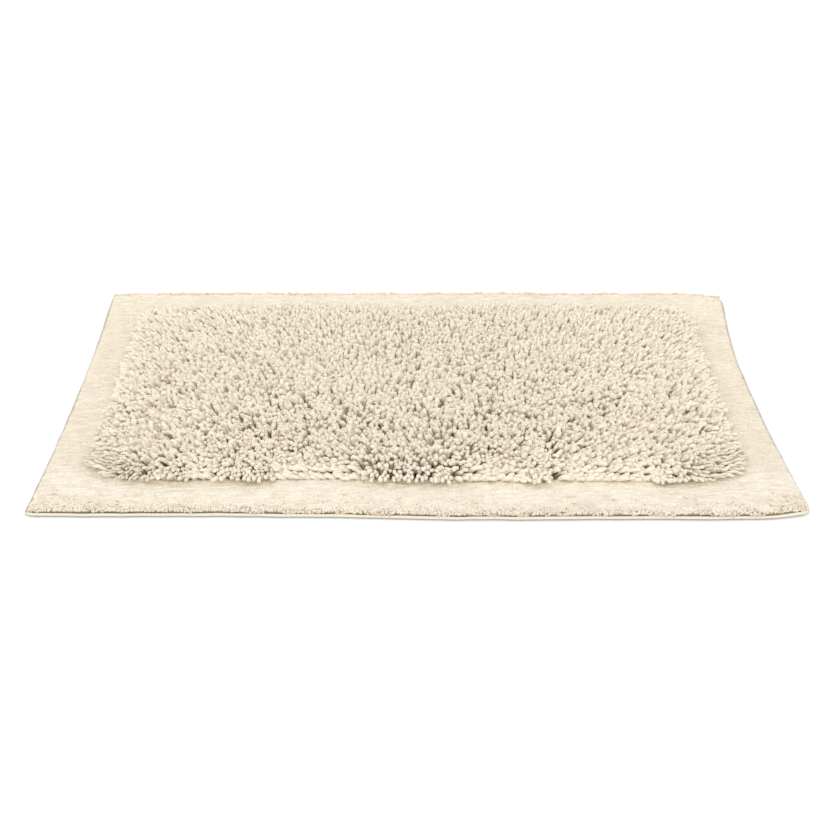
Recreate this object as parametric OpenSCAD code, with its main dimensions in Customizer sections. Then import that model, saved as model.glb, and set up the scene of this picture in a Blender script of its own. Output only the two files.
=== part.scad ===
// Tufted cotton bath mat: a low cut-pile border around a field of thick shag, both sewn
// through one base cloth. The cloth's edges are turned under and stitched, and a latex
// coat under the field locks the tufts and grips the floor.
// The mat lies flat with its underside on z = 0 and its centre on the z axis.
// +X runs along the long side and -Y is the front edge.

/* [Overall] */
// Length along the long side
mat_l = 800; // [600:10:1000]
// Width from front to back
mat_w = 500; // [400:10:560]
// Radius of the corners in plan
corner_r = 6; // [3:1:10]

/* [Cloth] */
// Thickness of one layer of the base cloth
cloth_t = 1.2; // [0.8:0.1:1.5]

/* [Hems] */
// Height of the rolled edge of a hem
roll_h = 4; // [3.5:0.5:5]
// Width of the rolled edge of a hem
roll_w = 6; // [5:0.5:8]
// Reach of the turned-under cloth, measured in from the edge
hem_reach = 22; // [18:1:30]
// Distance of the hem seam from the edge
seam_inset = 14; // [11:1:15]
// Width of the sewing thread
thread_w = 0.8; // [0.5:0.1:1.2]

/* [Border pile] */
// Width of the border, from the edge to the shag
border_w = 60; // [50:5:80]
// Height of the border pile above the floor
border_h = 10; // [7:0.5:14]
// Gap between the edge and the overhanging pile on the two short sides
side_gap = 1; // [0.5:0.5:3]

/* [Shag] */
// Height of the shag above the floor
shag_h = 28; // [22:1:40]
// Spacing of the tufted rows
row_pitch = 10; // [10:1:14]

/* [Hidden] */
$fn = 48;
half_l = mat_l / 2;
half_w = mat_w / 2;
// The coat is level with the turned-under cloth, so the whole underside lies flat
coat_t = cloth_t;
cloth_top = coat_t + cloth_t;
thread_h = cloth_t / 2;
// Rounding of the border pile's outer top edge
pile_round = 2.5;
// Extra length that makes a cut run clean through a face
cut_margin = 1;

field_l = mat_l - 2 * border_w;
field_w = mat_w - 2 * border_w;
row_count = floor(field_w / row_pitch);
row_w = field_w / row_count;

pile_colour = "#f6ecd6";
shag_colour = "#efe3c9";
cloth_colour = "#e8dcc2";
hem_colour = "#f3ead6";
coat_colour = "#ded8c6";
thread_colour = "#fbf7ec";

function row_name(i) = str("shag_row_", i < 10 ? "0" : "", i);

// A box centred on x = 0 and y = 0, between two heights
module slab(l, w, z_low, z_high) {
    translate([-l / 2, -w / 2, z_low]) cube([l, w, z_high - z_low]);
}

// A profile drawn as [distance in from the edge, height], run along the front edge
module run_along_front(length) {
    translate([-length / 2, -half_w, 0])
        rotate([90, 0, 90])
            linear_extrude(length) children();
}

// The same, for the side that faces -X
module run_along_left(length) {
    translate([half_w - half_l, 0, 0]) rotate([0, 0, -90]) run_along_front(length) children();
}

// Cross-section of a hem: a rolled edge, and the cloth turned under behind it
module hem_profile() {
    difference() {
        union() {
            translate([roll_h / 2, roll_h / 2]) circle(d = roll_h);
            translate([roll_h / 2, 0]) square([roll_w - roll_h / 2, roll_h]);
            translate([roll_h / 2, 0]) square([hem_reach - roll_h / 2, cloth_t]);
        }
        // Groove that the seam's thread lies in
        translate([seam_inset - thread_w / 2, -cut_margin])
            square([thread_w, thread_h + cut_margin]);
    }
}

module thread_profile() {
    translate([seam_inset - thread_w / 2, 0]) square([thread_w, thread_h]);
}

// The mat's outline with its rounded corners
module mat_outline() {
    translate([0, 0, -cut_margin])
        linear_extrude(shag_h)
            union() {
                square([mat_l - 2 * corner_r, mat_w], center = true);
                square([mat_l, mat_w - 2 * corner_r], center = true);
                for (x = [-1, 1], y = [-1, 1])
                    translate([x * (half_l - corner_r), y * (half_w - corner_r)]) circle(corner_r);
            }
}

// The front and back hems are folded last and run over the full length of the mat
module hem_front() {
    color(hem_colour)
        intersection() {
            run_along_front(mat_l) hem_profile();
            mat_outline();
        }
}

module hem_back() {
    rotate([0, 0, 180]) hem_front();
}

// The side hems are folded first, so their ends lie between the other two
module hem_left() {
    color(hem_colour)
        difference() {
            run_along_left(mat_w - 2 * roll_w) hem_profile();
            for (side = [-1, 1])
                translate([0, side * (half_w - hem_reach / 2), 0])
                    slab(mat_l, hem_reach, -cut_margin, cloth_t);
        }
}

module hem_right() {
    mirror([1, 0, 0]) hem_left();
}

module seam_front() {
    color(thread_colour) run_along_front(mat_l - 2 * seam_inset) thread_profile();
}

module seam_back() {
    rotate([0, 0, 180]) seam_front();
}

module seam_left() {
    color(thread_colour) run_along_left(mat_w - 2 * hem_reach) thread_profile();
}

module seam_right() {
    mirror([1, 0, 0]) seam_left();
}

// The cloth that all the tufts are sewn through, from roll to roll
module base_cloth() {
    color(cloth_colour) slab(mat_l - 2 * roll_w, mat_w - 2 * roll_w, coat_t, cloth_top);
}

// The coat fills the underside between the turned-under hems
module latex_coat() {
    color(coat_colour) slab(mat_l - 2 * hem_reach, mat_w - 2 * hem_reach, 0, coat_t);
}

// Cross-section of the border pile from a distance in from the edge, round at its outer top
module pile_profile(inset) {
    pile_w = border_w - inset;
    translate([inset, cloth_top]) square([pile_w, border_h - pile_round - cloth_top]);
    translate([inset + pile_round, cloth_top]) square([pile_w - pile_round, border_h - cloth_top]);
    translate([inset + pile_round, border_h - pile_round]) circle(pile_round);
}

// The front pile stands behind the rolled edge and leans over the rolls at its two ends
module border_pile_front() {
    color(pile_colour)
        difference() {
            run_along_front(mat_l - 2 * side_gap) pile_profile(roll_w);
            for (side = [-1, 1])
                translate([side * (half_l - roll_w / 2), 0, 0])
                    slab(roll_w, mat_w, -cut_margin, roll_h);
        }
}

module border_pile_back() {
    rotate([0, 0, 180]) border_pile_front();
}

// The side pile fills the rest of the border and leans over the whole side roll
module border_pile_left() {
    color(pile_colour)
        run_along_left(field_w)
            difference() {
                pile_profile(side_gap);
                square([roll_w, roll_h]);
            }
}

module border_pile_right() {
    mirror([1, 0, 0]) border_pile_left();
}

// One row of shag: a run of tufts with a rounded top. Rows count from the front.
module shag_row(i) {
    color(shag_colour)
        translate([-field_l / 2, -field_w / 2 + (i - 1) * row_w, 0])
            rotate([90, 0, 90])
                linear_extrude(field_l)
                    union() {
                        translate([0, cloth_top]) square([row_w, shag_h - row_w / 2 - cloth_top]);
                        translate([row_w / 2, shag_h - row_w / 2]) circle(d = row_w);
                    }
}

base_cloth();
latex_coat();
hem_front();
hem_back();
hem_left();
hem_right();
seam_front();
seam_back();
seam_left();
seam_right();
border_pile_front();
border_pile_back();
border_pile_left();
border_pile_right();
for (i = [1 : row_count]) {
    shag_row(i);
}
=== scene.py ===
"""Bath mat: shag field, velvety border pile, rolled hems, stitches, base cloth and latex coat."""

import math
from itertools import product

import bpy
import numpy as np
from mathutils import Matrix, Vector


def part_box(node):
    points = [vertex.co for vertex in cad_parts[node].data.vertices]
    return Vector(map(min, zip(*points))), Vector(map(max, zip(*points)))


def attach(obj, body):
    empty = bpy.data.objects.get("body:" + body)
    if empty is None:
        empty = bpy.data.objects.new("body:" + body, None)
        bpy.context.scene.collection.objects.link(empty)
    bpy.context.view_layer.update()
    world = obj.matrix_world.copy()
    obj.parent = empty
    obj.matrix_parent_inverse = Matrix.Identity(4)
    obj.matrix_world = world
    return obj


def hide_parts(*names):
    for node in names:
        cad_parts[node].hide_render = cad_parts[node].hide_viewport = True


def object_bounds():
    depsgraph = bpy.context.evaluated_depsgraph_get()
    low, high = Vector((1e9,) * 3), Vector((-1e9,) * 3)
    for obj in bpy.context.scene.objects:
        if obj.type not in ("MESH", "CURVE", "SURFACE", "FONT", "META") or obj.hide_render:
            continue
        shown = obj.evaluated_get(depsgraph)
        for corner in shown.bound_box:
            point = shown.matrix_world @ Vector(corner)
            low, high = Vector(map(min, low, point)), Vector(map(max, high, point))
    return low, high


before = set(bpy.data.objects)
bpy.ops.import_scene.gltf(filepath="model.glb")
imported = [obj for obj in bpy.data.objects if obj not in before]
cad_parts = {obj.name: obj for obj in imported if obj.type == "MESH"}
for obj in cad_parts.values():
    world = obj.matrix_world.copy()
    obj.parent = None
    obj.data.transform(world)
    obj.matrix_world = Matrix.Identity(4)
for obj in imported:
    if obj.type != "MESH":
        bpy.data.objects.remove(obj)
CAD_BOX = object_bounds()

MM = 0.001
FULL_TURN = 2 * math.pi
QUARTER_TURN = math.pi / 2
SHAG_ROWS = sorted(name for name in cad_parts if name.startswith("shag_row_"))

# ---- sizes read from the frame

HALF_L = CAD_BOX[1][0]
HALF_W = CAD_BOX[1][1]
CLOTH_LOW, CLOTH_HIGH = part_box("base_cloth")
SEAM_LOW, SEAM_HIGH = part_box("seam_front")
FIRST_ROW_LOW, FIRST_ROW_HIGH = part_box(SHAG_ROWS[0])
LAST_ROW_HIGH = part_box(SHAG_ROWS[-1])[1]
COAT_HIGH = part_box("latex_coat")[1]
HEM_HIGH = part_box("hem_front")[1]
FRONT_PILE_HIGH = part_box("border_pile_front")[1]

CLOTH_TOP = CLOTH_HIGH[2]
CLOTH_THICKNESS = CLOTH_HIGH[2] - CLOTH_LOW[2]
ROLL_WIDTH = HALF_W - CLOTH_HIGH[1]
ROLL_HEIGHT = HEM_HIGH[2]
HEM_REACH = HALF_W - COAT_HIGH[1]
SEAM_INSET = HALF_W + (SEAM_LOW[1] + SEAM_HIGH[1]) / 2
PILE_TOP = FRONT_PILE_HIGH[2]
FIELD_X = FIRST_ROW_HIGH[0]
FIELD_Y = LAST_ROW_HIGH[1]
ROW_WIDTH = FIRST_ROW_HIGH[1] - FIRST_ROW_LOW[1]


# ---- small maths helpers


def smooth_step(low, high, value):
    t = np.clip((value - low) / (high - low), 0, 1)
    return t * t * (3 - 2 * t)


LATTICE = 256
LATTICE_MIDDLE = 100


def wander(x, y, grain, seed):
    """Smooth noise from -1 to 1 with lumps about as wide as grain. Each seed has its own."""
    lattice = np.random.default_rng(seed).uniform(-1, 1, (LATTICE, LATTICE))
    u = x / grain + LATTICE_MIDDLE
    v = y / grain + LATTICE_MIDDLE
    column = np.floor(u).astype(int)
    row = np.floor(v).astype(int)
    fx = u - column
    fy = v - row
    fx = fx * fx * (3 - 2 * fx)
    fy = fy * fy * (3 - 2 * fy)
    left, right = column % LATTICE, (column + 1) % LATTICE
    near, far = row % LATTICE, (row + 1) % LATTICE
    near_value = lattice[left, near] * (1 - fx) + lattice[right, near] * fx
    far_value = lattice[left, far] * (1 - fx) + lattice[right, far] * fx
    return near_value * (1 - fy) + far_value * fy


TINY = 1e-9


def unit(vectors):
    return vectors / np.maximum(np.linalg.norm(vectors, axis=-1, keepdims=True), TINY)


# ---- how the mat lies

# The two sides bow inwards, the right one most at a place behind the middle
LEFT_PULL = 6 * MM
RIGHT_PULL = 11.5 * MM
RIGHT_PULL_AT = 60 * MM
# The front edge is drawn in, and its right half and the back edge belly out
FRONT_DRAW = 1.6 * MM
FRONT_BELLY = 6 * MM
BACK_BELLY = 4 * MM
# The front and back edges waver
EDGE_WAVE = 1.2 * MM
EDGE_WAVE_GRAIN = 0.11
CORNER_ROUND = 9 * MM
CORNER_CURL = 2 * MM
BACK_CORNER_DROP = 6 * MM


def round_corners(x, y):
    """Points with the mat's four square corners drawn in to round ones."""
    radius = np.where(y < 0, CORNER_ROUND, 0.5 * CORNER_ROUND)
    straight_x = HALF_L - radius
    straight_y = HALF_W - radius
    dx = np.maximum(np.abs(x) - straight_x, 0)
    dy = np.maximum(np.abs(y) - straight_y, 0)
    corner = (dx > 0) & (dy > 0)
    shrink = np.where(corner, np.maximum(dx, dy) / np.maximum(np.hypot(dx, dy), TINY), 1)
    round_x = np.where(corner, np.sign(x) * (straight_x + dx * shrink), x)
    round_y = np.where(corner, np.sign(y) * (straight_y + dy * shrink), y)
    return round_x, round_y


def settle(points):
    """The flat mat as it lies: sides drawn in between the corners, edges a little wavy."""
    x, y = round_corners(points[..., 0], points[..., 1])
    out = np.array(points, float)
    left = 1 - (y / HALF_W) ** 2
    reach = HALF_W - np.sign(y - RIGHT_PULL_AT) * RIGHT_PULL_AT
    right = np.clip(1 - ((y - RIGHT_PULL_AT) / reach) ** 2, 0, 1) ** 1.5
    pull = np.where(x < 0, LEFT_PULL * left, -RIGHT_PULL * right)
    out[..., 0] = x + pull * (np.abs(x) / HALF_L) ** 2
    edge = smooth_step(0.7, 1.0, np.abs(y) / HALF_W)
    belly = smooth_step(-0.3, 0.1, x / HALF_L) * smooth_step(1.0, 0.85, x / HALF_L)
    front = smooth_step(0.5, 1.0, -y / HALF_W)
    back = smooth_step(0.5, 1.0, y / HALF_W) * smooth_step(1.0, 0.9, np.abs(x) / HALF_L)
    out[..., 1] = y + edge * EDGE_WAVE * wander(x, np.sign(y), EDGE_WAVE_GRAIN, 3)
    out[..., 1] += BACK_BELLY * back + (FRONT_DRAW - FRONT_BELLY * belly) * front
    # The back right corner is drawn forward, and the front right one curls up a little
    back_right = smooth_step(0.80, 1.0, x / HALF_L) * smooth_step(0.0, 1.0, y / HALF_W)
    front_right = smooth_step(0.90, 1.0, x / HALF_L) * smooth_step(0.55, 1.0, -y / HALF_W)
    out[..., 1] += CORNER_CURL * front_right - BACK_CORNER_DROP * back_right**2
    out[..., 2] += CORNER_CURL * front_right
    return out


# ---- mesh helpers


SHARP_ANGLE = math.radians(75)
# A direction that hardly any strand runs along, to start the rings of a tube from
TUBE_SIDE = [0.31, 0.95, 0.0]


def new_piece(name, points, face_sets, material, slot, nodes):
    """A settled piece from an array of points and arrays of faces with equal corner counts."""
    mesh = bpy.data.meshes.new(name)
    settled = settle(points.reshape(-1, 3))
    mesh.vertices.add(len(settled))
    mesh.vertices.foreach_set("co", settled.astype(np.float32).ravel())
    corners = np.concatenate([faces.ravel() for faces in face_sets]).astype(np.int32)
    counts = np.concatenate([np.full(len(faces), faces.shape[1]) for faces in face_sets])
    starts = (np.cumsum(counts) - counts).astype(np.int32)
    mesh.loops.add(len(corners))
    mesh.loops.foreach_set("vertex_index", corners)
    mesh.polygons.add(len(counts))
    mesh.polygons.foreach_set("loop_start", starts)
    mesh.update(calc_edges=True)
    mesh.validate()
    mesh.shade_smooth()
    mesh.set_sharp_from_angle(angle=SHARP_ANGLE)
    mesh.materials.append(material)
    piece = bpy.data.objects.new(name, mesh)
    bpy.context.scene.collection.objects.link(piece)
    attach(piece, "root")
    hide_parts(*nodes)
    return piece


def add_attribute(piece, name, kind, values):
    """A value for each point of a piece, which its material reads by name."""
    key = {"FLOAT": "value", "FLOAT_VECTOR": "vector"}[kind]
    attribute = piece.data.attributes.new(name, kind, "POINT")
    attribute.data.foreach_set(key, values.astype(np.float32).ravel())


def tube_points(centres, radii, sides):
    """Rings round many centre lines at once: centres (count, rings, 3), radii (count, rings)."""
    tangent = unit(np.gradient(centres, axis=1))
    side = np.empty_like(centres)
    start = np.cross(tangent[:, 0], TUBE_SIDE)
    side[:, 0] = unit(start)
    for k in range(1, centres.shape[1]):
        previous = side[:, k - 1]
        along = (previous * tangent[:, k]).sum(-1, keepdims=True)
        side[:, k] = unit(previous - along * tangent[:, k])
    other = np.cross(tangent, side)
    angle = np.arange(sides) * FULL_TURN / sides
    ring = side[:, :, None] * np.cos(angle)[:, None] + other[:, :, None] * np.sin(angle)[:, None]
    return centres[:, :, None] + ring * radii[:, :, None, None]


def tube_faces(count, rings, sides):
    """Wall quads and the two end caps of many tubes laid one after another."""
    first = (np.arange(count) * rings * sides)[:, None, None]
    ring = (np.arange(rings - 1) * sides)[None, :, None]
    here = np.arange(sides)[None, None, :]
    after = (here + 1) % sides
    low = first + ring
    wall = np.stack([low + here, low + after, low + sides + after, low + sides + here], -1)
    start = first[:, 0] + here[0, 0][::-1]
    end = first[:, 0] + (rings - 1) * sides + here[0, 0]
    return wall.reshape(-1, 4), np.concatenate([start, end])


# ---- materials


COTTON_ROUGHNESS = 0.9
SHEEN_ROUGHNESS = 0.6
SPECULAR = 0.2
# A face starts to count as an underside where its normal's height is this, and does fully at this
UNDERSIDE_FROM = -0.8
UNDERSIDE_FULL = -0.95


class Nodes:
    """A short way to write a material's nodes. Inputs named i0, i1 and so on go by number."""

    def __init__(self, name):
        self.material = bpy.data.materials.new(name)
        self.material.use_nodes = True
        self.tree = self.material.node_tree
        self.shader = self.tree.nodes["Principled BSDF"]

    def add(self, kind, settings=None, **inputs):
        node = self.tree.nodes.new("ShaderNode" + kind)
        for key, value in (settings or {}).items():
            setattr(node, key, value)
        for key, value in inputs.items():
            self.set(node, key, value)
        return node

    def set(self, node, key, value):
        by_number = key[1:].isdigit()
        socket = node.inputs[int(key[1:]) if by_number else key.replace("_", " ")]
        if isinstance(value, bpy.types.NodeSocket):
            self.tree.links.new(value, socket)
        else:
            socket.default_value = value

    def maths(self, operation, a, b=0.0):
        return self.add("Math", {"operation": operation}, i0=a, i1=b).outputs[0]

    def place(self):
        """The point in metres, in the frame of the mat."""
        return self.add("TexCoord").outputs["Object"]

    def split(self, vector):
        """The three parts of a vector."""
        return self.add("SeparateXYZ", None, i0=vector).outputs

    def stretched(self, scale):
        settings = {"operation": "MULTIPLY"}
        return self.add("VectorMath", settings, i0=self.place(), i1=scale).outputs[0]

    def noise(self, scale, detail=2.0, vector=None):
        """Noise with about this many lumps to the metre."""
        where = self.place() if vector is None else vector
        return self.add("TexNoise", None, Vector=where, Scale=scale, Detail=detail).outputs[0]

    def blend(self, *parts):
        """Sum of (weight, value) pairs."""
        settings = {"operation": "MULTIPLY_ADD"}
        total = self.maths("MULTIPLY", parts[0][1], parts[0][0])
        for weight, value in parts[1:]:
            total = self.add("Math", settings, i0=value, i1=weight, i2=total).outputs[0]
        return total

    def ramp(self, value, low, high, start=0.0, end=1.0):
        """A colour that goes from low to high as the value goes from start to end."""
        node = self.add("ValToRGB", None, Fac=value)
        for element, spot, colour in zip(node.color_ramp.elements, (start, end), (low, high)):
            element.position = spot
            element.color = (*colour, 1)
        return node.outputs[0]

    def shade(self, colour, dark, low, high):
        """The colour with painted shade: tinted dark at and below the height low, fading out by the
        height high, except on an underside.
        """
        up = self.split(self.place())[2]
        depth = self.add("MapRange", None, i0=up, i1=low, i2=high).outputs[0]
        facing = self.split(self.add("NewGeometry").outputs["Normal"])[2]
        limits = {"i1": UNDERSIDE_FROM, "i2": UNDERSIDE_FULL}
        underside = self.add("MapRange", None, i0=facing, **limits).outputs[0]
        tint = self.ramp(self.maths("MAXIMUM", depth, underside), dark, (1, 1, 1))
        settings = {"data_type": "RGBA", "blend_type": "MULTIPLY"}
        return self.add("Mix", settings, i0=1.0, i6=colour, i7=tint).outputs[2]

    def finish(self, colour, height, distance, strength=1.0, roughness=COTTON_ROUGHNESS, sheen=0.0):
        """The material with this colour, and bumps up to a distance high."""
        bump = self.add("Bump", None, Height=height, Distance=distance, Strength=strength)
        self.set(self.shader, "Base_Color", colour)
        self.set(self.shader, "Normal", bump.outputs[0])
        self.set(self.shader, "Roughness", roughness)
        self.set(self.shader, "Sheen_Weight", sheen)
        self.set(self.shader, "Sheen_Roughness", SHEEN_ROUGHNESS)
        self.set(self.shader, "Specular_IOR_Level", SPECULAR)
        return self.material


# Colours as linear red, green and blue: each material's dullest and brightest tone
SHAG_COLOURS = [(0.87, 0.785, 0.64), (0.99, 0.91, 0.77)]
VELOUR_COLOURS = [(0.69, 0.61, 0.485), (0.93, 0.855, 0.72)]
HEM_COLOURS = [(0.72, 0.665, 0.535), (0.83, 0.78, 0.66)]
CANVAS_COLOURS = [(0.70, 0.62, 0.47), (0.80, 0.72, 0.57)]
LATEX_COLOURS = [(0.60, 0.54, 0.42), (0.72, 0.66, 0.54)]
THREAD_COLOURS = [(0.82, 0.77, 0.66), (0.92, 0.88, 0.79)]
FLOOR_COLOURS = [(0.93, 0.93, 0.93), (0.95, 0.95, 0.95)]
# Painted shade: the pile and the cloth are tinted dark by these at their foot, fully so up to these
# heights
VELOUR_PAINTED_SHADE = (0.60, 0.51, 0.38)
VELOUR_PAINTED_SHADE_TOP = 3 * MM
CLOTH_PAINTED_SHADE = (0.28, 0.27, 0.25)
CLOTH_PAINTED_SHADE_TOP = 1.2 * MM
# Ridges of the twisted yarn: how many round it, and how fast they wind along it
PLIES = 3.0
TWIST = 900.0


def shag_material():
    """Soft thick cotton yarn: twisted plies, loose fibres, and a tone of its own per strand."""
    n = Nodes("shag_cotton")
    yarn = n.add("Attribute", {"attribute_name": "yarn"}).outputs["Vector"]
    tint = n.add("Attribute", {"attribute_name": "tint"}).outputs["Fac"]
    x, y, z = n.split(yarn)
    angle = n.maths("ARCTAN2", y, x)
    ridge = n.maths("SINE", n.blend((PLIES, angle), (TWIST, z)))
    fibre = n.noise(1100.0, 4.0)
    lumps = n.noise(420.0, 2.0)
    # The ply ridges also darken the grooves between the plies a little: painted shade.
    tone = n.blend((0.35, tint), (0.4, fibre), (0.25, lumps), (0.05, ridge))
    colour = n.ramp(tone, *SHAG_COLOURS, 0.25, 0.75)
    height = n.blend((0.25, ridge), (0.8, fibre), (1.6, lumps))
    return n.finish(colour, height, 1.0 * MM, strength=0.8, sheen=0.15)


def border_material(side, tone, painted_shade_ends_at):
    """Low cut pile: fine cut ends in faint rows, with patches brushed slightly different ways, and
    painted shade: a tone for each panel and a dark foot.
    """
    n = Nodes(f"border_velour_{side}")
    ends = n.noise(430.0, 5.0)
    rows = n.noise(1.0, 3.0, n.stretched((60.0, 320.0, 320.0)))
    brushed = n.noise(28.0, 2.0)
    mix = n.blend((0.42, ends), (0.45, rows), (0.13, brushed))
    # The panel's tone darkens its colours a little: painted shade.
    dull, bright = ([part * level for part, level in zip(colour, tone)] for colour in VELOUR_COLOURS)
    # The pile is painted dark towards its foot: painted shade.
    colour = n.shade(n.ramp(mix, dull, bright, 0.36, 0.62), VELOUR_PAINTED_SHADE, VELOUR_PAINTED_SHADE_TOP, painted_shade_ends_at)
    height = n.blend((0.7, ends), (0.4, rows))
    return n.finish(colour, height, 1.8 * MM, sheen=0.2)


def cloth_material(name, colours, threads_per_metre, painted_shade_ends_at):
    """Plain weave, over and under, with painted shade that darkens it towards its foot from a height
    above the floor.
    """
    n = Nodes(name)
    x, y = n.split(n.place())[:2]
    turn = FULL_TURN * threads_per_metre / 2
    warp = n.maths("SINE", n.maths("MULTIPLY", x, turn))
    weft = n.maths("SINE", n.maths("MULTIPLY", y, turn))
    weave = n.maths("MULTIPLY", warp, weft)
    fibre = n.noise(1200.0, 3.0)
    height = n.blend((0.5, weave), (0.6, fibre))
    tone = n.blend((0.15, weave), (1.0, fibre))
    # The cloth is painted dark towards its foot: painted shade.
    colour = n.shade(n.ramp(tone, *colours), CLOTH_PAINTED_SHADE, CLOTH_PAINTED_SHADE_TOP, painted_shade_ends_at)
    return n.finish(colour, height, 0.3 * MM, strength=0.7, sheen=0.1)


def latex_material():
    """Dull rubber in uneven patches, with fine pores."""
    n = Nodes("latex")
    patch = n.noise(60.0, 4.0)
    pores = n.noise(700.0, 2.0)
    tone = n.blend((0.7, patch), (0.3, pores))
    return n.finish(n.ramp(tone, *LATEX_COLOURS), pores, 0.25 * MM, roughness=0.55)


def thread_material():
    n = Nodes("sewing_thread")
    fibre = n.noise(3000.0, 2.0)
    return n.finish(n.ramp(fibre, *THREAD_COLOURS), fibre, 0.1 * MM, roughness=0.6)


def floor_material():
    n = Nodes("floor")
    speck = n.noise(40.0, 3.0)
    return n.finish(n.ramp(speck, *FLOOR_COLOURS), speck, 0.02 * MM, roughness=0.7)


# ---- shag

YARN_RADIUS = 2.25 * MM
STRAND_SPACING = 2.15 * MM
STRAND_LENGTH = 27 * MM
# Points along the centre line of a strand, its root and tip included
JOINTS = 8
# How round the field's corners are
FRONT_CORNER = 38 * MM
BACK_CORNER = 20 * MM


def field_edge(x, y):
    """Signed distance to the shag field's outline with its rounded corners: negative inside."""
    corner = np.where(y < 0, FRONT_CORNER, BACK_CORNER)
    dx = np.abs(x) - FIELD_X + corner
    dy = np.abs(y) - FIELD_Y + corner
    outside = np.hypot(np.maximum(dx, 0), np.maximum(dy, 0))
    return outside + np.minimum(np.maximum(dx, dy), 0) - corner


# Which way the front row lies along X: -1 flat to the left, 0 straight out, 1 flat to the right
FRONT_LIE = [
    (-0.345, -1.0), (-0.325, -0.9),
    (-0.305, 0.0), (-0.240, 0.0),
    (-0.230, -0.7), (-0.212, -0.7),
    (-0.202, 0.0), (-0.150, 0.0),
    (-0.140, -1.0), (-0.055, -1.0),
    (-0.045, 0.0), (0.035, 0.1),
    (0.050, 1.0), (0.100, 0.9),
    (0.115, 0.2), (0.135, 0.2),
    (0.150, 0.9), (0.235, 0.8),
    (0.250, 0.1), (0.285, 0.2),
    (0.300, 0.7), (0.345, 1.0),
]
# From how far over a strand counts as lying on its side
ON_ITS_SIDE = 0.5
# How far a root may be from its place along the row and across it, in mm
JITTER_ALONG = 0.7
JITTER_ACROSS = 0.6


def sideways_lie(x):
    return np.interp(x, *np.transpose(FRONT_LIE))


def strand_roots(rng):
    """Where each strand leaves the cloth. A row is a line of tufts, and each has two strands."""
    per_row = 2 * int(FIELD_X / STRAND_SPACING)
    step = 2 * FIELD_X / per_row
    column, row = np.meshgrid(np.arange(per_row), np.arange(len(SHAG_ROWS)))
    leg = np.where(column % 2 == 0, -1, 1)
    x = -FIELD_X + (column + 0.5) * step
    x = x + rng.uniform(-JITTER_ALONG, JITTER_ALONG, column.shape) * MM
    y = -FIELD_Y + (row + 0.5) * ROW_WIDTH + leg * 0.25 * ROW_WIDTH
    y = y + rng.uniform(-JITTER_ACROSS, JITTER_ACROSS, column.shape) * MM
    tuft = (column + row * per_row) // 2
    # The first two rows are thin where they lie on their sides, and the first a little elsewhere
    lying = np.abs(sideways_lie(x)) > ON_ITS_SIDE
    dropped = np.where(lying, (row < 2) & (tuft % 2 == 0), (row == 0) & (tuft % 3 == 0))
    kept = (field_edge(x, y) < 0) & ~dropped
    return x[kept], y[kept], row[kept], tuft[kept]


# Where the shag falls apart and shows a dark hollow
PARTINGS = [
    (0.016, -0.140),
    (0.051, -0.046),
    (0.070, -0.186),
    (-0.079, -0.090),
    (-0.306, 0.083),
    (0.197, -0.134),
]
PARTING_REACH = 9 * MM
PARTING_PUSH = 0.45

# How the rows nearest the front fall: how much, tilt forward, turn sideways on the way to the tip
FALL = [(1.0, 1.1, 1.5), (0.8, 0.85, 1.4), (0.35, 0.4, 0.35), (0.1, 0.15, 0.1), (0.0, 0.0, 0.0)]

# Leans are angles from upright in radians. A tuft and each strand of it have a lean of their own
TUFT_LEAN = 0.15
STRAND_LEAN = 0.12
# Strands share a lean with their clump, and another with the wider patch round it
CLUMP_LEAN = 0.34
CLUMP_GRAIN = 0.022
PATCH_LEAN = 0.26
PATCH_GRAIN = 0.07
# The whole field leans a little forward, and fans out from its middle
FORWARD_LEAN = 0.12
FRONT_BACK_FAN = 0.5
ENDS_FAN = 0.9
# The outermost strands and those of the front corners lean further out
SIDE_LEAN = 0.4
BACK_LEAN = 0.25
CORNER_LEAN = 0.3
CORNER_FORWARD = 0.1
# How far in from a side and from the back the outermost strands lean more
SIDE_FRINGE = 30 * MM
BACK_FRINGE = 35 * MM
# The shag starts to lie flat this far from a front corner, and lies flattest this near to it
CORNER_FAR = 85 * MM
CORNER_NEAR = 25 * MM


def corner_spread(x, y):
    """How near a strand is to one of the front corners, where the shag lies flat and long."""
    distance = np.hypot(np.abs(x) - FIELD_X, y + FIELD_Y)
    return smooth_step(CORNER_FAR, CORNER_NEAR, distance)


def part_ways(x, y, lean_x, lean_y):
    """Leans the strands round each parting away from it."""
    for px, py in PARTINGS:
        dx, dy = x - px, y - py
        distance = np.hypot(dx, dy) + 1 * MM
        push = PARTING_PUSH * np.exp(-((distance / PARTING_REACH) ** 2))
        lean_x = lean_x + push * dx / distance
        lean_y = lean_y + push * dy / distance
    return lean_x, lean_y


def shared_lean(x, y, seed):
    return CLUMP_LEAN * wander(x, y, CLUMP_GRAIN, seed) + PATCH_LEAN * wander(x, y, PATCH_GRAIN, seed + 1)


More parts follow.
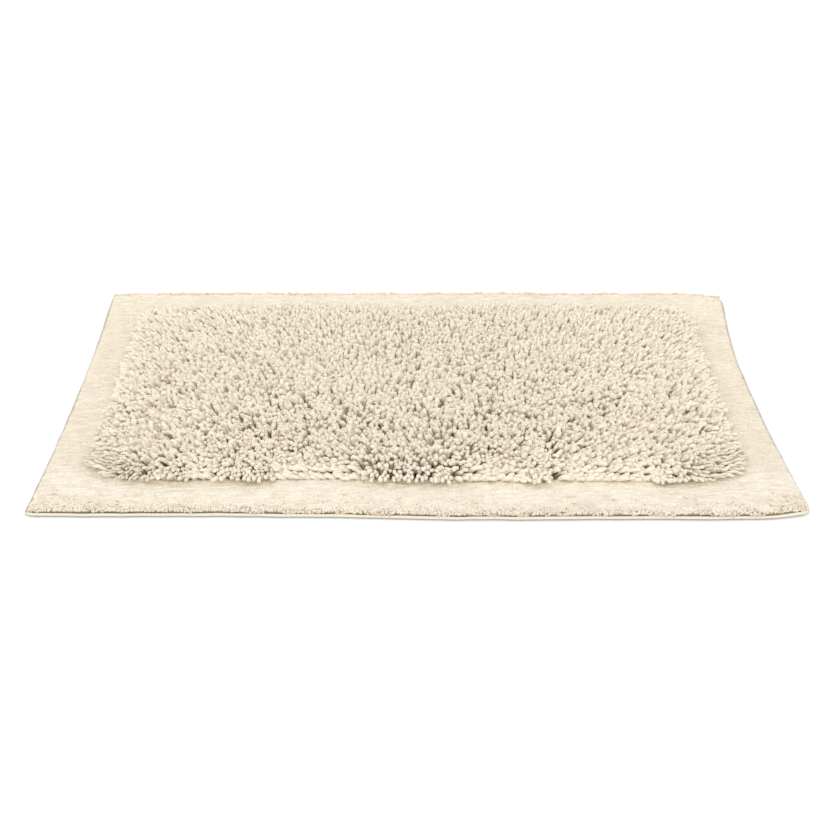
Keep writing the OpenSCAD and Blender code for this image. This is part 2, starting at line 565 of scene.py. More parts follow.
def strand_lean(x, y, row, tuft, rng):
    """Tilt of each strand as a vector whose length is the angle from upright, and its turn."""
    tuft_own = rng.normal(0, TUFT_LEAN, (tuft.max() + 1, 2))[tuft]
    own = tuft_own + rng.normal(0, STRAND_LEAN, (len(x), 2))
    # Untidier towards the two ends, and tidier towards the back
    own = own * (1 + 0.7 * smooth_step(0.5, 0.9, np.abs(x) / FIELD_X))[:, None]
    stir = 1 - 0.45 * smooth_step(-0.7, 0.4, y / FIELD_Y)
    lean_x = stir * (shared_lean(x, y, 11) + own[:, 0])
    lean_y = stir * (shared_lean(x, y, 13) + own[:, 1])
    # The front half leans forward and the back half backward, and both ends fan outwards
    lean_y = lean_y + FRONT_BACK_FAN * (y / FIELD_Y) - FORWARD_LEAN
    lean_x = lean_x + ENDS_FAN * np.sign(x) * (np.abs(x) / FIELD_X) ** 1.7
    side = smooth_step(FIELD_X - SIDE_FRINGE, FIELD_X, np.abs(x))
    back = smooth_step(FIELD_Y - BACK_FRINGE, FIELD_Y, y)
    lean_x = lean_x + np.sign(x) * SIDE_LEAN * side
    lean_y = lean_y + BACK_LEAN * back
    spread = corner_spread(x, y)
    lean_x = lean_x + np.sign(x) * CORNER_LEAN * spread
    lean_y = lean_y - CORNER_FORWARD * spread
    # The first row falls over the border and turns sideways, and the next lies on its back
    sideways = sideways_lie(x) + 0.10 * wander(x, y * 0, 0.012, 15)
    fall, forward, turned = np.transpose(FALL)[:, np.minimum(row, len(FALL) - 1)]
    lean_x = lean_x * (1 - 0.8 * fall) + 0.5 * sideways * fall
    lean_y = lean_y * (1 - 0.8 * fall) - forward
    return (*part_ways(x, y, lean_x, lean_y), turned * sideways)


# How much a strand's length varies, and how far it curls, kinks and swings aside, in radians
LENGTH_VARIES = 0.09
LENGTH_LIMITS = (0.76, 1.22)
CURL = 0.3
KINK = 0.22
SWING = 0.5
# The flattest a strand may lie on the whole, and at any one place
FLATTEST = 1.4
FLATTEST_PLACE = 1.6


def strand_length(x, y, row, rng):
    """Strands are trimmed shorter round the field's edge and towards the back."""
    low_back = 0.16 * smooth_step(FIELD_Y - 50 * MM, FIELD_Y, y)
    trimmed = 1 - 0.10 * smooth_step(-20 * MM, 0, field_edge(x, y)) - low_back
    varied = np.clip(rng.normal(1, LENGTH_VARIES, x.shape), *LENGTH_LIMITS)
    front = np.where(row == 0, 1.0 - 0.14 * np.abs(sideways_lie(x)), 1)
    return STRAND_LENGTH * trimmed * varied * (1 + 0.06 * corner_spread(x, y)) * front


def first_shape(x, y, row, tuft, rng):
    """Centre line of each strand before the strands push each other apart."""
    lean_x, lean_y, turn = strand_lean(x, y, row, tuft, rng)
    tilt = np.clip(np.hypot(lean_x, lean_y), 0, FLATTEST)
    heading = np.arctan2(lean_y, lean_x)
    length = strand_length(x, y, row, rng)
    along = np.linspace(0, 1, JOINTS)[:-1]
    # Strands of the first row and those that lie on their sides keep in line with each other
    calm = 1 - 0.65 * np.clip(np.abs(turn) + (row == 0), 0, 1)
    curl = (calm * rng.normal(0, CURL, x.shape))[:, None] * (along - 0.3)
    kink = (calm * rng.normal(0, KINK, x.shape))[:, None] * np.sin(FULL_TURN * along)
    # A strand leaves the cloth steeper than it ends
    bend = 0.35 + 0.9 * along**0.8
    angle = np.clip(tilt[:, None] * bend + curl + kink, -0.5, FLATTEST_PLACE)
    loose = calm * rng.normal(0, SWING, x.shape)
    swing = heading[:, None] + loose[:, None] * along**1.5 + turn[:, None] * np.minimum(1, 1.6 * along)
    step = (length / (JOINTS - 1))[:, None]
    move = np.stack([np.sin(angle) * np.cos(swing), np.sin(angle) * np.sin(swing), np.cos(angle)], -1)
    line = np.zeros((len(x), JOINTS, 3))
    line[:, 0] = np.stack([x, y, np.full(x.shape, CLOTH_TOP)], -1)
    line[:, 1:] = line[:, :1] + np.cumsum(move * step[..., None], axis=1)
    return line, step


def near_pairs(points, owner, reach):
    """All pairs of points of different strands that are closer than reach."""
    cell = np.floor(points / reach).astype(np.int64)
    cell = cell - cell.min(0) + 1
    size = cell.max(0) + 2
    weight = np.array([size[1] * size[2], size[2], 1])
    key = cell @ weight
    order = np.argsort(key, kind="stable")
    ordered = key[order]
    index = np.arange(len(points))
    found = []
    for way in product((-1, 0, 1), repeat=3):
        shift = way @ weight
        if shift < 0:
            continue
        first = np.searchsorted(ordered, key + shift, "left")
        last = np.searchsorted(ordered, key + shift, "right")
        count = last - first
        a = np.repeat(index, count)
        inside = np.arange(count.sum()) - np.repeat(np.cumsum(count) - count, count)
        b = order[np.repeat(first, count) + inside]
        keep = owner[a] != owner[b]
        if shift == 0:
            keep &= a < b
        a, b = a[keep], b[keep]
        close = ((points[a] - points[b]) ** 2).sum(-1) < reach * reach
        found.append(np.stack([a[close], b[close]]))
    return np.concatenate(found, axis=1)


# Strands push each other apart for this many rounds, and the pairs are found again every few
CROWD_ROUNDS = 70
PAIRS_EVERY = 6
PAIR_MARGIN = 1.2 * MM
# Yarn is soft, so strands may press into each other down to this much of their thickness
SOFTNESS = 0.82
# In each round a strand goes back by this much towards its first shape, straightens out by this
# much, and springs back by this much at its first joint above the root
GOES_BACK = 0.02
STRAIGHTENS = 0.07
FOOT_SPRINGS_BACK = 0.4


def ground_under(x, y):
    """Height that a strand rests on: the cloth inside the field, the border pile outside it."""
    outside = field_edge(x, y)
    return CLOTH_TOP + (PILE_TOP - CLOTH_TOP - 0.5 * MM) * smooth_step(-3 * MM, 2 * MM, outside)


def crowd(line, step, girth):
    """Lets the strands push each other apart and settle, keeping their lengths and roots."""
    count = len(line)
    owner = np.repeat(np.arange(count), JOINTS)
    goal = line.copy()
    total = count * JOINTS
    for round_number in range(CROWD_ROUNDS):
        if round_number % PAIRS_EVERY == 0:
            a, b = near_pairs(line.reshape(-1, 3), owner, 2 * YARN_RADIUS + PAIR_MARGIN)
            touch = girth.ravel()[a] + girth.ravel()[b]
        flat = line.reshape(-1, 3)
        gap = flat[a] - flat[b]
        distance = np.sqrt((gap**2).sum(-1)) + TINY
        push = np.clip(touch - distance, 0, None) * 0.5
        move = gap * (push / distance)[:, None]
        shift = np.empty((total, 3))
        for axis in range(3):
            shift[:, axis] = np.bincount(a, move[:, axis], total) - np.bincount(b, move[:, axis], total)
        met = np.bincount(a, push > 0, total) + np.bincount(b, push > 0, total)
        shift /= np.maximum(1, met * 0.5)[:, None]
        line = (flat + shift).reshape(line.shape)
        line += GOES_BACK * (goal - line)
        straight = 2 * line[:, 1:-1] - line[:, :-2]
        line[:, 2:] += STRAIGHTENS * (straight - line[:, 2:])
        low = ground_under(line[..., 0], line[..., 1]) + girth
        line[:, 2:, 2] = np.maximum(line[:, 2:, 2], low[:, 2:])
        line[:, 0] = goal[:, 0]
        line[:, 1] = line[:, 1] + FOOT_SPRINGS_BACK * (goal[:, 1] - line[:, 1])
        for k in range(1, JOINTS):
            way = unit(line[:, k] - line[:, k - 1])
            line[:, k] = line[:, k - 1] + way * step
    return line


def smooth_line(line, where):
    """Points on a smooth curve through the joints, at places from 0 to 1 along it."""
    joints = line.shape[1]
    before = 2 * line[:, :1] - line[:, 1:2]
    after = 2 * line[:, -1:] - line[:, -2:-1]
    padded = np.concatenate([before, line, after], 1)
    spot = np.clip(where * (joints - 1), 0, joints - 1 - 1e-6)
    k = spot.astype(int)
    t = (spot - k)[None, :, None]
    p0, p1, p2, p3 = (padded[:, k + i] for i in range(4))
    bend = (2 * p0 - 5 * p1 + 4 * p2 - p3) * t**2
    twist = (3 * p1 - p0 - 3 * p2 + p3) * t**3
    return 0.5 * (2 * p1 + (p2 - p0) * t + bend + twist)


SHAG_SEED = 7
STRAND_SIDES = 7
# Rings along the body, as parts of the length, and round the end, as radii in from the tip
BODY_RINGS = [0.0, 0.28, 0.46, 0.61, 0.73, 0.84]
CAP_RINGS = [0.8, 0.3, 0.04]
# How much strands differ in thickness, and each in its own thickness, line and surface
THICKNESS_VARIES = 0.11
THICKNESS_LIMITS = (0.75, 1.28)
LUMPS = 0.07
WAVERS = 0.13 * MM
UNEVEN = 0.17 * MM
ROWS_PER_PIECE = 4


def swell(along):
    """A strand is pinched where it leaves the cloth, and at its full girth before half way."""
    return 0.62 + 0.38 * smooth_step(0.0, 0.45, along)


def strand_rings(length):
    """Places along a strand of the rings of its body and of its round end, and their girth."""
    body = np.array(BODY_RINGS)
    cap_depth = np.array(CAP_RINGS)
    cap = 1 - cap_depth * YARN_RADIUS / length
    round_end = np.sqrt(1 - (1 - cap_depth) ** 2)
    return np.concatenate([body, cap]), np.concatenate([swell(body), round_end])


def fullness(x, y, row):
    """The strands are fullest in the middle of the field, and thin at the back and corners."""
    depth = y / FIELD_Y
    fuller = 1 + 0.07 * smooth_step(-0.75, -0.1, depth) - 0.10 * smooth_step(0.0, 0.7, depth)
    lying = np.clip(np.abs(sideways_lie(x)), 0, 1)
    return fuller - 0.18 * corner_spread(x, y) + np.where(row < 2, 0.17 * lying - 0.05, 0)


def yarn_places(where, points, rng):
    """For each point its place round and along its strand, for the twist in the material."""
    angle = np.arange(STRAND_SIDES) * FULL_TURN / STRAND_SIDES
    phase = rng.uniform(0, FULL_TURN, len(points))
    yarn = np.empty(points.shape)
    yarn[..., 0] = np.cos(angle)
    yarn[..., 1] = np.sin(angle)
    yarn[..., 2] = (where * STRAND_LENGTH)[None, :, None] + phase[:, None, None] * MM
    return yarn


def make_shag(material):
    """All the strands are made together, and then shared out among pieces of a few rows each."""
    rng = np.random.default_rng(SHAG_SEED)
    x, y, row, tuft = strand_roots(rng)
    line, step = first_shape(x, y, row, tuft, rng)
    thickness = np.clip(rng.normal(1, THICKNESS_VARIES, len(x)), *THICKNESS_LIMITS)
    girth = YARN_RADIUS * thickness[:, None] * swell(np.linspace(0, 1, JOINTS))
    line = crowd(line, step, SOFTNESS * girth)
    where, profile = strand_rings(STRAND_LENGTH)
    centres = smooth_line(line, where)
    centres[:, 1:-1] += rng.normal(0, WAVERS, centres[:, 1:-1].shape)
    lumps = 1 + rng.normal(0, LUMPS, (len(x), len(where)))
    pointed = 1 - 0.5 * corner_spread(x, y)[:, None] * smooth_step(0.4, 1.0, where)
    radii = YARN_RADIUS * (thickness * fullness(x, y, row))[:, None] * profile * pointed * lumps
    points = tube_points(centres, radii, STRAND_SIDES)
    points[:, 1:] += rng.normal(0, UNEVEN, points[:, 1:].shape)
    tint = np.clip(rng.normal(0.5, 0.22, len(x)), 0, 1)
    yarn = yarn_places(where, points, rng)
    pieces = []
    for start in range(0, len(SHAG_ROWS), ROWS_PER_PIECE):
        rows = SHAG_ROWS[start : start + ROWS_PER_PIECE]
        mine = (row >= start) & (row < start + ROWS_PER_PIECE)
        sets = tube_faces(mine.sum(), len(where), STRAND_SIDES)
        name = f"shag_rows_{start + 1:02d}_to_{start + len(rows):02d}"
        piece = new_piece(name, points[mine], sets, material, "shag_yarn", rows)
        add_attribute(piece, "yarn", "FLOAT_VECTOR", yarn[mine])
        add_attribute(piece, "tint", "FLOAT", np.repeat(tint[mine], len(where) * STRAND_SIDES))
        pieces.append(piece)
    return pieces


# ---- border pile

BORDER_SEED = 60
# Between the points of the pile's surface
GRID = 1.1 * MM
# The pile is rounded off over this width, down to this height at its edge
PILE_ROUND = 7 * MM
PILE_FOOT = 4.2 * MM
# How far from the middle of the mat the pile reaches
SIDE_EDGE = FRONT_PILE_HIGH[0] - 1.3 * MM
FRONT_EDGE = HALF_W - ROLL_WIDTH
BACK_EDGE = HALF_W - 1 * MM
# How far the border pile reaches in under the shag, to fill the field's rounded corners
UNDER_SHAG = 0.3 * FRONT_CORNER
# How fine the pile's relief is, and how wide the valleys in it are
TUFT_GRAIN = 0.0025
VALLEY_WIDTH = 0.27


def valleys(x, y):
    """Narrow winding valleys between clumps of pile, from 0 on a clump to 1 in the valley."""
    slant = y + 0.35 * x * np.sign(x)
    path = wander(x / 2.2, slant, 0.0060, 26) + 0.45 * wander(x / 1.6, slant, 0.0032, 27)
    return np.exp(-((path / VALLEY_WIDTH) ** 2))


def looseness(x, y):
    """How loose the border pile is: most along the front edge and in the front corners."""
    ahead = FRONT_EDGE + y
    corner = smooth_step(90 * MM, 20 * MM, HALF_L - np.abs(x))
    reach = (16 + 20 * corner + 6 * wander(x, y, 0.03, 28)) * MM
    return smooth_step(1.0, 0.2, ahead / reach)


def pile_height(x, y):
    """Top of the border pile: rows of cut tufts, rounded off towards the mat's edges."""
    relief = 0.50 * wander(x / 5, y, TUFT_GRAIN, 25)
    relief = relief + 0.45 * wander(x, y, TUFT_GRAIN, 21) + 0.35 * wander(x, y, 0.006, 22)
    depth = 0.35 + 0.4 * smooth_step(-FIELD_Y, -0.8 * FIELD_Y, y) + 2.5 * looseness(x, y)
    relief = relief - depth * valleys(x, y)
    rise = 0.6 * wander(x, y, 0.05, 24)
    inset = np.minimum(SIDE_EDGE - np.abs(x), np.where(y < 0, FRONT_EDGE, BACK_EDGE) - np.abs(y))
    out = 1 - np.clip(inset / PILE_ROUND, 0, 1)
    crown = PILE_TOP - 1 * MM
    top = crown + (relief + rise) * MM - (crown - PILE_FOOT) * (1 - np.sqrt(1 - out**2))
    under = smooth_step(0, 3 * MM, -field_edge(x, y))
    return top + (CLOTH_TOP + 1 * MM - top) * under


def spaced(low, high, dense_low=False, dense_high=False):
    """Grid lines between two places, with extra ones towards an outer edge."""
    lines = list(np.linspace(low, high, int(round((high - low) / GRID)) + 1))
    extra = np.array([0.15, 0.4, 0.7]) * GRID
    if dense_low:
        lines += list(low + extra)
    if dense_high:
        lines += list(high - extra)
    return np.array(sorted(lines))


def grid_faces(nx, ny):
    """The quads of a grid of points, and the points round its rim in order."""
    index = np.arange(nx * ny).reshape(nx, ny)
    corners = [index[:-1, :-1], index[1:, :-1], index[1:, 1:], index[:-1, 1:]]
    rim = np.concatenate([index[:, 0], index[-1, 1:], index[-2::-1, -1], index[0, -2:0:-1]])
    return np.stack(corners, -1).reshape(-1, 4), rim


def slab(xs, ys, surface, level):
    """A closed block between a detailed surface and a plain flat face at level, above or below."""
    nx, ny = len(xs), len(ys)
    x, y = np.meshgrid(xs, ys, indexing="ij")
    top = np.stack([x, y, surface(x, y)], -1).reshape(-1, 3)
    lid, rim = grid_faces(nx, ny)
    base = top[rim].copy()
    base[:, 2] = level
    low = len(top) + np.arange(len(rim))
    wall = np.stack([low, np.roll(low, -1), np.roll(rim, -1), rim], -1)
    # The plain face is a ladder of quads across the block, with a many-sided face at each end
    south = low[:nx]
    east = low[nx - 1 : nx + ny - 1]
    north = low[nx + ny - 2 : 2 * nx + ny - 2][::-1]
    west = np.append(low[2 * nx + ny - 3 :], low[0])[::-1]
    if nx > ny:
        first = np.concatenate([west, north[1:2], south[1:2]])
        last = np.concatenate([south[-2:-1], north[-2:-1], east[::-1]])
        rungs = np.stack([south[1:-2], north[1:-2], north[2:-1], south[2:-1]], -1)
    else:
        first = np.concatenate([west[1:2], east[1:2], south[::-1]])
        last = np.concatenate([west[-2:-1], north, east[-2:-1]])
        rungs = np.stack([west[1:-2], west[2:-1], east[2:-1], east[1:-2]], -1)
    sets = [lid, wall, rungs, first[None], last[None]]
    if top[:, 2].mean() < level:
        sets = [faces[:, ::-1] for faces in sets]
    return np.concatenate([top, base]), sets


TUFT_RADIUS = 1.5 * MM
TUFT_SPACING = 2.1 * MM
TUFT_SIDES = 6
# Rings along a short tuft: their places, and their girth
TUFT_RINGS = [0.0, 0.4, 0.75, 0.93, 1.0]
TUFT_GIRTH = [0.75, 1.0, 1.0, 0.72, 0.2]
# Rows of tufts along an edge, in mm: distance in from the pile's edge, lean outwards, length
FRONT_ROWS = [(0.2, 0.70, 4.8), (1.8, 0.50, 6.3), (3.8, 0.35, 7.4)]
BACK_ROWS = [(1.0, 0.2, 6.2), (2.6, 0.15, 7.8)]
# Loose tufts that lie in the pile along the front edge, and thicker in the two front corners
LOOSE_TUFTS = 420
CORNER_TUFTS = 90
LOOSE_SPREAD = 8 * MM
CORNER_SPREAD = 26 * MM
LOOSE_DEPTH = 1.9 * MM
# The nearest and the furthest that a loose tuft is from the edge, and the shortest and longest
LOOSE_INSET = 4 * MM
LOOSE_INSET_MOST = 38 * MM
LOOSE_LENGTHS = (5.5, 8.0)


def tuft_tubes(roots, away, lean, length, rng):
    """Short soft tufts: each leans the way it is told and ends round. Roots are x, y, z."""
    count = len(roots)
    lean = lean + rng.normal(0, 0.13, count)
    heading = np.arctan2(away[:, 1], away[:, 0]) + rng.normal(0, 0.35, count)
    away = np.stack([np.cos(heading), np.sin(heading)], -1)
    length = length * np.clip(rng.normal(1, 0.07, count), 0.75, 1.25)
    where = np.array(TUFT_RINGS)
    angle = lean[:, None] * (0.4 + 0.8 * where[None, :])
    out = np.sin(angle) * where * length[:, None]
    up = np.cos(angle) * where * length[:, None]
    centres = roots[:, None] + np.stack([away[:, :1] * out, away[:, 1:] * out, up], -1)
    radii = TUFT_RADIUS * np.clip(rng.normal(1, 0.12, count), 0.75, 1.3)[:, None] * TUFT_GIRTH
    return tube_points(centres, radii, TUFT_SIDES), tube_faces(count, len(where), TUFT_SIDES)


def neatness(x):
    """The fringe stands neater on the left, and falls over the hem at the left corner."""
    return 1 - 0.5 * smooth_step(-0.10, -0.22, x) + 1.1 * smooth_step(-0.365, -0.38, x)


def edge_tufts(start, end, away, rows, rng):
    """Rows of tufts along one straight edge of the pile, from one corner to the other."""
    start, end, away = (np.array(v, float) for v in (start, end, away))
    run = np.linalg.norm(end - start)
    count = int(run / TUFT_SPACING)
    roots, leans, lengths = [], [], []
    for inset, lean, length in rows:
        t = (np.arange(count) + 0.5) / count + rng.uniform(-0.3, 0.3, count) / count
        spot = start + (end - start) * t[:, None] - away * inset * MM
        spot = spot + rng.uniform(-0.4, 0.4, (count, 2)) * MM
        x = spot[:, 0]
        bunch = wander(x, 0 * t, 0.010, 61) + 0.5 * wander(x, 0 * t, 0.0045, 62)
        roots.append(np.column_stack([spot, np.full(count, CLOTH_TOP)]))
        leans.append(np.clip(lean * neatness(x) * (1 + 1.2 * bunch), 0.1, 1.2))
        lengths.append(length * MM * (1 + 0.08 * bunch))
    roots = np.concatenate(roots)
    aside = 0.9 * wander(roots[:, 0], roots[:, 2] * 0, 0.016, 63)
    ways = away + aside[:, None] * np.array([away[1], away[0]])
    return tuft_tubes(roots, ways, np.concatenate(leans), np.concatenate(lengths), rng)


def joined(parts):
    """Several (points, face sets) as one."""
    points, sets, offset = [], [], 0
    for part_points, part_sets in parts:
        part_points = part_points.reshape(-1, 3)
        points.append(part_points)
        sets += [faces + offset for faces in part_sets]
        offset += len(part_points)
    return np.concatenate(points), sets


def loose_tufts(rng):
    """Tufts lying in the pile of the front border, mostly along it."""
    run = SIDE_EDGE - 8 * MM
    x = rng.uniform(-run, run, LOOSE_TUFTS)
    inset = rng.exponential(LOOSE_SPREAD, LOOSE_TUFTS) + LOOSE_INSET
    for side in (-1, 1):
        inward = np.minimum(rng.exponential(CORNER_SPREAD, CORNER_TUFTS), run)
        x = np.append(x, side * (run - inward))
        deep = rng.exponential(1.3 * LOOSE_SPREAD, CORNER_TUFTS)
        inset = np.append(inset, deep + LOOSE_INSET)
    inset = np.minimum(inset, LOOSE_INSET_MOST)
    y = inset - FRONT_EDGE
    roots = np.stack([x, y, pile_height(x, y) - LOOSE_DEPTH], -1)
    left_or_right = rng.choice([0, math.pi], len(x))
    heading = left_or_right + 1.1 * wander(x, y, 0.03, 64) + rng.normal(0, 0.3, len(x))
    away = np.stack([np.cos(heading), np.sin(heading)], -1)
    leans = rng.uniform(1.15, 1.45, len(x))
    lengths = rng.uniform(*LOOSE_LENGTHS, len(x)) * MM
    return tuft_tubes(roots, away, leans, lengths, rng)


# Painted shade for each panel of the border: a tone that darkens the back and sides a little, and the
# height that its foot is painted dark to
PANEL_PAINTED_SHADE = {
    "front": ((1.0, 1.0, 1.0), 6.5 * MM),
    "back": ((0.985, 0.975, 0.945), 6.5 * MM),
    "left": ((0.965, 0.94, 0.915), 8.0 * MM),
    "right": ((0.965, 0.94, 0.915), 8.0 * MM),
}


def make_border():
    long_x = spaced(-SIDE_EDGE, SIDE_EDGE, True, True)
    inner_y = FIELD_Y - UNDER_SHAG
    inner_x = FIELD_X - UNDER_SHAG
    short_y = spaced(-inner_y, inner_y)
    grids = {
        "front": (long_x, spaced(-FRONT_EDGE, -inner_y, dense_low=True)),
        "back": (long_x, spaced(inner_y, BACK_EDGE, dense_high=True)),
        "left": (spaced(-SIDE_EDGE, -inner_x, dense_low=True), short_y),
        "right": (spaced(inner_x, SIDE_EDGE, dense_high=True), short_y),
    }
    rng = np.random.default_rng(BORDER_SEED)
    front_ends = ((-SIDE_EDGE, -FRONT_EDGE), (SIDE_EDGE, -FRONT_EDGE))
    back_ends = ((SIDE_EDGE, BACK_EDGE), (-SIDE_EDGE, BACK_EDGE))
    front_tufts = edge_tufts(*front_ends, (0, -1), FRONT_ROWS, rng)
    back_tufts = edge_tufts(*back_ends, (0, 1), BACK_ROWS, rng)
    tufts = {
        "front": [front_tufts, loose_tufts(rng)],
        "back": [back_tufts],
        "left": [],
        "right": [],
    }
    pieces = []
    for side, grid in grids.items():
        shape = joined([slab(*grid, pile_height, CLOTH_TOP), *tufts[side]])
        # Each panel's material is a copy with its own painted shade.
        material = border_material(side, *PANEL_PAINTED_SHADE[side])
        nodes = [f"border_pile_{side}"]
        pieces.append(new_piece(f"border_velour_{side}", *shape, material, "border_yarn", nodes))
    return pieces


# ---- hems, seams, cloth and coat


# The roll's nose is off the floor by this much of its height
NOSE_LIFT = 0.25
# The seam pulls the cloth in, and its stitches lie in the trough: how deep it is, and how far
# its floor and its mouth reach to each side
TROUGH_DEPTH = 0.55 * MM
TROUGH_FLOOR = 0.8 * MM
TROUGH_MOUTH = 1.6 * MM
# Between the points along a hem, and from the edges of its flap to the next points
HEM_STEP = 3 * MM
HEM_SEEDS = (31, 34, 37, 40)
# The mat's sides: how far each is from the middle, and its turn from the front one
SIDES = {
    "front": (HALF_W, 0),
    "back": (HALF_W, math.pi),
    "left": (HALF_L, -QUARTER_TURN),
    "right": (HALF_L, QUARTER_TURN),
}


def roll_profile():
    """The folded edge seen from its end, as [distance in from the edge, height].
    Its nose is lifted a little off the floor, and a groove parts it from the pile."""
    lift = NOSE_LIFT * ROLL_HEIGHT
    middle = (ROLL_HEIGHT + lift) / 2
    radius = (ROLL_HEIGHT - lift) / 2
    bow = np.linspace(-QUARTER_TURN, QUARTER_TURN, 13)
    nose = [(radius - radius * math.cos(a), middle + radius * math.sin(a)) for a in bow]
    crown = [(ROLL_WIDTH * 0.42, ROLL_HEIGHT * 0.96), (ROLL_WIDTH * 0.56, ROLL_HEIGHT * 0.8)]
    groove = [(ROLL_WIDTH * 0.66, CLOTH_THICKNESS * 1.5), (ROLL_WIDTH * 0.76, CLOTH_THICKNESS)]
    foot = [(ROLL_WIDTH, CLOTH_THICKNESS), (ROLL_WIDTH, 0.0), (ROLL_WIDTH * 0.9, 0.0)]
    return np.array(nose + crown + groove + foot)[::-1]


def flap_profile():
    """The cloth turned under behind the roll, seen from its end in the same way."""
    above = [(inward, CLOTH_THICKNESS) for inward in np.linspace(ROLL_WIDTH, HEM_REACH, 7)]
    inner = [(HEM_REACH, 0.0), (HEM_REACH - HEM_STEP, 0.0)]
    trough = [
        (SEAM_INSET + TROUGH_MOUTH, 0.0),
        (SEAM_INSET + TROUGH_FLOOR, TROUGH_DEPTH),
        (SEAM_INSET - TROUGH_FLOOR, TROUGH_DEPTH),
        (SEAM_INSET - TROUGH_MOUTH, 0.0),
    ]
    outer = [(ROLL_WIDTH + HEM_STEP, 0.0), (ROLL_WIDTH, 0.0)]
    return np.array(above + inner + trough + outer)[::-1]


def drawn_along(profile, length):
    """Points of a profile carried along the front edge, as [along, in from the edge, height]."""
    run = np.linspace(-length / 2, length / 2, int(length / HEM_STEP))
    points = np.empty((len(run), len(profile), 3))
    points[..., 0] = run[:, None]
    points[..., 1:] = profile
    return points


def to_side(points, side):
    """Points given as [along, in from the edge, height], moved to one side of the mat."""
    distance, turn = SIDES[side]
    x, y = points[..., 0], points[..., 1] - distance
    flat = [x * math.cos(turn) - y * math.sin(turn), x * math.sin(turn) + y * math.cos(turn)]
    return np.stack([*flat, points[..., 2]], -1)


def make_hem(side, roll_length, flap_length, material, seed):
    """The roll is uneven along its length, and the cloth behind it lies flat on the floor."""
    roll = drawn_along(roll_profile(), roll_length)
    along = roll[..., 0]
    free = roll[..., 1] < ROLL_WIDTH
    own = seed + 0 * along
    short_waves = wander(along, own, 0.012, seed)
    long_waves = wander(along, 0 * along, 0.04, seed)
    roll[..., 2] *= 1 + 0.06 * short_waves + 0.05 * long_waves
    roll[..., 1] += 0.5 * MM * wander(along, own, 0.02, seed + 1) * free
    parts = []
    for shell in (roll, drawn_along(flap_profile(), flap_length)):
        rings, sides = shell.shape[:2]
        parts.append((to_side(shell, side), tube_faces(1, rings, sides)))
    points, sets = joined(parts)
    return new_piece(f"hem_edge_{side}", points, sets, material, "hem_cloth", [f"hem_{side}"])


def make_hems(material, side_material):
    """The side hems lie between the rolls of the other two, and their flaps between the flaps."""
    long = (2 * HALF_L, 2 * (HALF_L - ROLL_WIDTH), material)
    short = (2 * (HALF_W - ROLL_WIDTH), 2 * (HALF_W - HEM_REACH), side_material)
    kinds = (long, long, short, short)
    return [make_hem(side, *kind, seed) for side, kind, seed in zip(SIDES, kinds, HEM_SEEDS)]


STITCH_PITCH = 3.6 * MM
STITCH_LENGTH = 3.0 * MM
THREAD_RADIUS = 0.4 * MM
THREAD_SIDES = 6


def make_seam(side, length, material):
    """A line of lockstitches on the underside: each dips into the cloth at both ends."""
    count = int(length / STITCH_PITCH)
    middle = (np.arange(count) - (count - 1) / 2) * STITCH_PITCH
    t = np.linspace(-0.5, 0.5, 7)
    x = middle[:, None] + t[None, :] * STITCH_LENGTH
    z = THREAD_RADIUS * (1.0 + 3.0 * (2 * t[None, :]) ** 4) + 0 * x
    centres = to_side(np.stack([x, SEAM_INSET + 0 * x, z], -1), side)
    radii = THREAD_RADIUS * np.sqrt(np.clip(1 - (1.9 * t) ** 4, 0.1, 1))[None, :] * np.ones((count, 1))
    points = tube_points(centres, radii, THREAD_SIDES)
    sets = tube_faces(count, len(t), THREAD_SIDES)
    return new_piece(f"stitches_{side}", points, sets, material, "sewing_thread", [f"seam_{side}"])


def make_seams(material):
    long = 2 * (HALF_L - SEAM_INSET)
    short = 2 * (HALF_W - HEM_REACH)
    return [make_seam(side, run, material) for side, run in zip(SIDES, (long, long, short, short))]


CLOTH_GRID = 6 * MM
COAT_GRID = 2 * MM


def make_cloth(material):
    """The woven cloth, a flat closed sheet from roll to roll."""
    nx = int(2 * CLOTH_HIGH[0] / CLOTH_GRID) + 1
    ny = int(2 * CLOTH_HIGH[1] / CLOTH_GRID) + 1
    across = np.linspace(-CLOTH_HIGH[0], CLOTH_HIGH[0], nx)
    deep = np.linspace(-CLOTH_HIGH[1], CLOTH_HIGH[1], ny)
    x, y = np.meshgrid(across, deep, indexing="ij")
    top = np.stack([x, y, CLOTH_TOP + 0 * x], -1).reshape(-1, 3)
    bottom = np.stack([x, y, CLOTH_LOW[2] + 0 * x], -1).reshape(-1, 3)
    lid, rim = grid_faces(nx, ny)
    after = np.roll(rim, -1)
    total = nx * ny
    wall = np.stack([rim + total, after + total, after, rim], -1)
    sets = [lid, lid[:, ::-1] + total, wall]
    points = np.concatenate([top, bottom])
    return new_piece("woven_base_cloth", points, sets, material, "canvas", ["base_cloth"])


def coat_underside(x, y):
    """The latex follows the lines of back stitches that hold the rows of tufts."""
    line = 0.5 + 0.5 * np.cos(FULL_TURN * y / ROW_WIDTH + math.pi)
    inside = smooth_step(0, 4 * MM, FIELD_Y - np.abs(y)) * smooth_step(0, 4 * MM, FIELD_X - np.abs(x))
    stitch = 0.75 + 0.25 * wander(x, y, 4 * STRAND_SPACING, 52)
    return 0.6 * MM * (1 - line**3 * stitch * inside) + 0.1 * MM * wander(x, y, 0.01, 51)


def make_coat(material):
    grid = [np.arange(-half, half + COAT_GRID / 2, COAT_GRID) for half in COAT_HIGH[:2]]
    points, sets = slab(*grid, coat_underside, COAT_HIGH[2])
    return new_piece("latex_back", points, sets, material, "latex", ["latex_coat"])


# ---- stage

CAMERA_PITCH = math.radians(30.93)
CAMERA_HEIGHT = 0.830
CAMERA_BACK = 1.180
CAMERA_ASIDE = -0.002
LENS = 61.5
SENSOR = 36
STUDIO_LIGHT = 0.97
FLOOR_REACH = 12.0
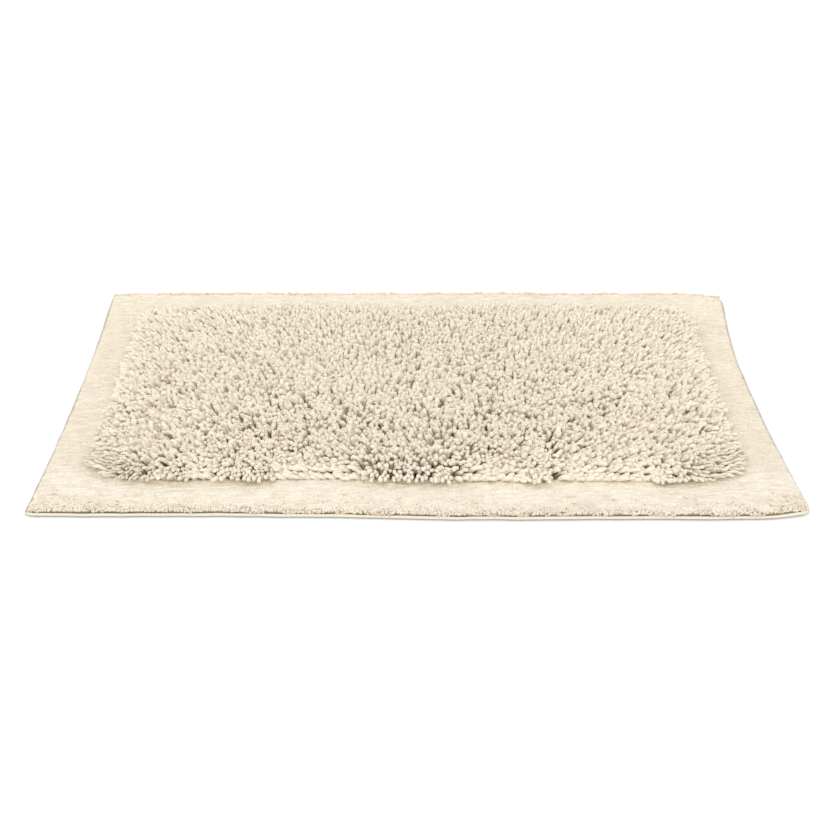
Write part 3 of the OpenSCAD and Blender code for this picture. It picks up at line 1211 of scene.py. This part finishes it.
# Each soft light: the direction that it comes from, its strength, and how wide it is in degrees
KEY_LIGHT = ((-0.3, -0.9, 1.0), 0.85, 90)
BACK_LIGHT = ((0.4, 0.6, 1.0), 0.2, 90)


def make_camera():
    data = bpy.data.cameras.new("camera")
    data.lens = LENS
    data.sensor_width = SENSOR
    camera = bpy.data.objects.new("camera", data)
    bpy.context.scene.collection.objects.link(camera)
    camera.location = (CAMERA_ASIDE, -HALF_W - CAMERA_BACK, CAMERA_HEIGHT)
    camera.rotation_euler = (QUARTER_TURN - CAMERA_PITCH, 0, 0)
    bpy.context.scene.camera = camera


def make_sun(name, way, strength, softness):
    data = bpy.data.lights.new(name, "SUN")
    data.energy = strength
    data.angle = math.radians(softness)
    light = bpy.data.objects.new(name, data)
    bpy.context.scene.collection.objects.link(light)
    light.location = way
    light.rotation_euler = Vector(way).to_track_quat("Z", "Y").to_euler()


def make_stage():
    world = bpy.data.worlds.new("studio")
    world.use_nodes = True
    background = world.node_tree.nodes["Background"]
    background.inputs["Color"].default_value = (1, 1, 1, 1)
    background.inputs["Strength"].default_value = STUDIO_LIGHT
    bpy.context.scene.world = world
    bpy.context.scene.view_settings.view_transform = "Standard"
    mesh = bpy.data.meshes.new("floor")
    corners = [(FLOOR_REACH * x, FLOOR_REACH * y, 0) for x, y in ((-1, -1), (1, -1), (1, 1), (-1, 1))]
    mesh.from_pydata(corners, [], [(0, 1, 2, 3)])
    mesh.materials.append(floor_material())
    floor = bpy.data.objects.new("floor", mesh)
    bpy.context.scene.collection.objects.link(floor)
    make_sun("key", *KEY_LIGHT)
    make_sun("back_fill", *BACK_LIGHT)


# ---- the mat

# Threads to the metre
HEM_THREADS = 900
CANVAS_THREADS = 700

make_camera()
make_stage()
# Each cloth is painted dark at its foot up to the given height: painted shade, which on the side hems
# reaches over the whole roll.
hem_cloth = cloth_material("hem_cotton", HEM_COLOURS, HEM_THREADS, painted_shade_ends_at=2.8 * MM)
side_hem_cloth = cloth_material("side_hem_cotton", HEM_COLOURS, HEM_THREADS, painted_shade_ends_at=6.5 * MM)
canvas = cloth_material("base_canvas", CANVAS_COLOURS, CANVAS_THREADS, painted_shade_ends_at=2.2 * MM)
hems = make_hems(hem_cloth, side_hem_cloth)
seams = make_seams(thread_material())
cloth = make_cloth(canvas)
coat = make_coat(latex_material())
border = make_border()
shag = make_shag(shag_material())
